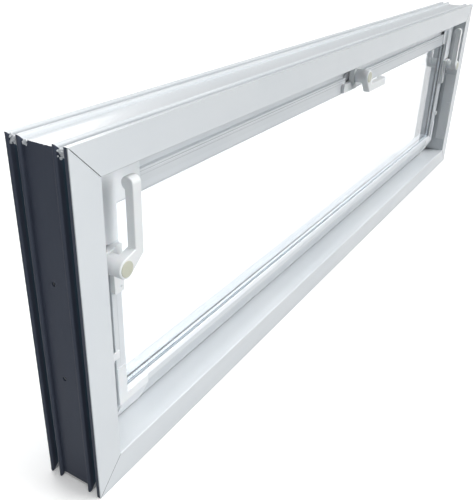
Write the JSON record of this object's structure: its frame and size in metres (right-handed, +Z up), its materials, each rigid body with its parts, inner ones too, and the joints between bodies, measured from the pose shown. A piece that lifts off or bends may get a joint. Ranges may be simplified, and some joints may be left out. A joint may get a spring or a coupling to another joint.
{
  "type": "hopper window",
  "caption": "White vinyl basement hopper window: channelled outer frame, bottom-hinged double-glazed sash tilting into the room, turned shut with cam levers.",
  "frame": {"origin": "centre of the flat underside of the sill, between its fins, at mid-width and mid-depth of the frame", "axes": "+X to the right seen from the room, -Y towards the room, +Z up"},
  "size_m": [1.49, 0.0906, 0.434],
  "materials": {
    "white_vinyl": "satin white vinyl extrusion",
    "bead_vinyl": "satin white vinyl bead",
    "charcoal_vinyl": "matte charcoal vinyl",
    "white_plastic": "moulded white plastic",
    "lever_plastic": "moulded white nylon, satin",
    "cap_plastic": "moulded cream plastic",
    "zinc": "die-cast and stamped zinc-plated steel",
    "steel": "zinc-plated steel",
    "receiver_plastic": "moulded acetal",
    "seal_rubber": "soft black seal",
    "gasket_rubber": "black glazing gasket",
    "sealant": "black edge sealant",
    "block_rubber": "hard rubber",
    "spacer_metal": "perforated mill-finish spacer",
    "clear_glass": "clear float glass"
  },
  "bodies": {
    "frame": {"head": "white_vinyl", "sill": "white_vinyl", "left_jamb": "white_vinyl", "right_jamb": "white_vinyl", "left_outer_channel": "charcoal_vinyl", "right_outer_channel": "charcoal_vinyl", "left_keeper": "zinc", "right_keeper": "zinc", "top_keeper": "zinc", "left_jamb_track": "white_plastic", "right_jamb_track": "white_plastic", "left_pivot_receiver": "receiver_plastic", "right_pivot_receiver": "receiver_plastic", "keeper_screws": "steel", "receiver_screws": "steel", "frame_seal": "seal_rubber", "sill_seal": "seal_rubber", "weep_covers": "white_plastic"},
    "sash": {"top_rail": "white_vinyl", "bottom_rail": "white_vinyl", "left_stile": "white_vinyl", "right_stile": "white_vinyl", "top_bead": "bead_vinyl", "bottom_bead": "bead_vinyl", "left_bead": "bead_vinyl", "right_bead": "bead_vinyl", "bottom_left_corner_cover": "white_plastic", "bottom_right_corner_cover": "white_plastic", "top_left_corner_cover": "white_plastic", "top_right_corner_cover": "white_plastic", "left_pivot_pin": "steel", "right_pivot_pin": "steel", "inner_glazing_gasket": "gasket_rubber", "inner_pane": "clear_glass", "edge_sealant": "sealant", "spacer_bar": "spacer_metal", "outer_pane": "clear_glass", "outer_glazing_tape": "gasket_rubber", "setting_blocks": "block_rubber", "left_lever_base": "lever_plastic", "right_lever_base": "lever_plastic", "top_lever_base": "lever_plastic", "lever_base_screws": "steel"},
    "left_lever": {"left_lever": "lever_plastic", "left_lever_cap": "cap_plastic", "left_cam": "zinc"},
    "right_lever": {"right_lever": "lever_plastic", "right_lever_cap": "cap_plastic", "right_cam": "zinc"},
    "top_lever": {"top_lever": "lever_plastic", "top_lever_cap": "cap_plastic", "top_cam": "zinc"}
  },
  "joints": [
    {"name": "sash_tilt", "type": "hinge", "parent": "frame", "child": "sash", "pos_m": [0, 0.01175, 0.04], "axis": [1, 0, 0], "range_deg": [0, 40]},
    {"name": "left_lever_turn", "type": "hinge", "parent": "sash", "child": "left_lever", "pos_m": [-0.68, -0.04125, 0.2785], "axis": [0, 1, 0], "range_deg": [0, 90]},
    {"name": "right_lever_turn", "type": "hinge", "parent": "sash", "child": "right_lever", "pos_m": [0.68, -0.04125, 0.2785], "axis": [0, -1, 0], "range_deg": [0, 90]},
    {"name": "top_lever_turn", "type": "hinge", "parent": "sash", "child": "top_lever", "pos_m": [0, -0.04125, 0.364], "axis": [0, 1, 0], "range_deg": [0, 90]}
  ]
}
